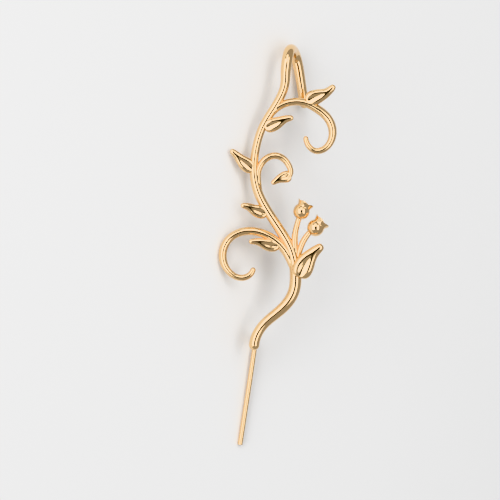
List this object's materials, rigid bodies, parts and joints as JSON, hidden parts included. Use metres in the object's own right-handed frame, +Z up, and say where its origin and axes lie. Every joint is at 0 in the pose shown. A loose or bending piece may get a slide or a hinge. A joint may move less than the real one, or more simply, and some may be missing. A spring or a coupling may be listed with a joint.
{
  "type": "ear cuff",
  "caption": "Polished gold ear cuff shaped as a climbing vine, with a hook over the ear's rim, curled tendrils, leaves, flower buds and a straight ear wire.",
  "frame": {"origin": "middle of the part's box at the height of the surface on which it lies", "axes": "+X from the vine's top towards the ear wire's tip, +Y towards the vine's right side, +Z up; the vine lies on its back, its face turned up and towards -Y"},
  "size_m": [0.0728, 0.0178, 0.0131],
  "materials": {
    "polished_gold": "high polish, pale yellow gold"
  },
  "bodies": {
    "root": {"vine_cuff": "polished_gold"}
  },
  "joints": []
}
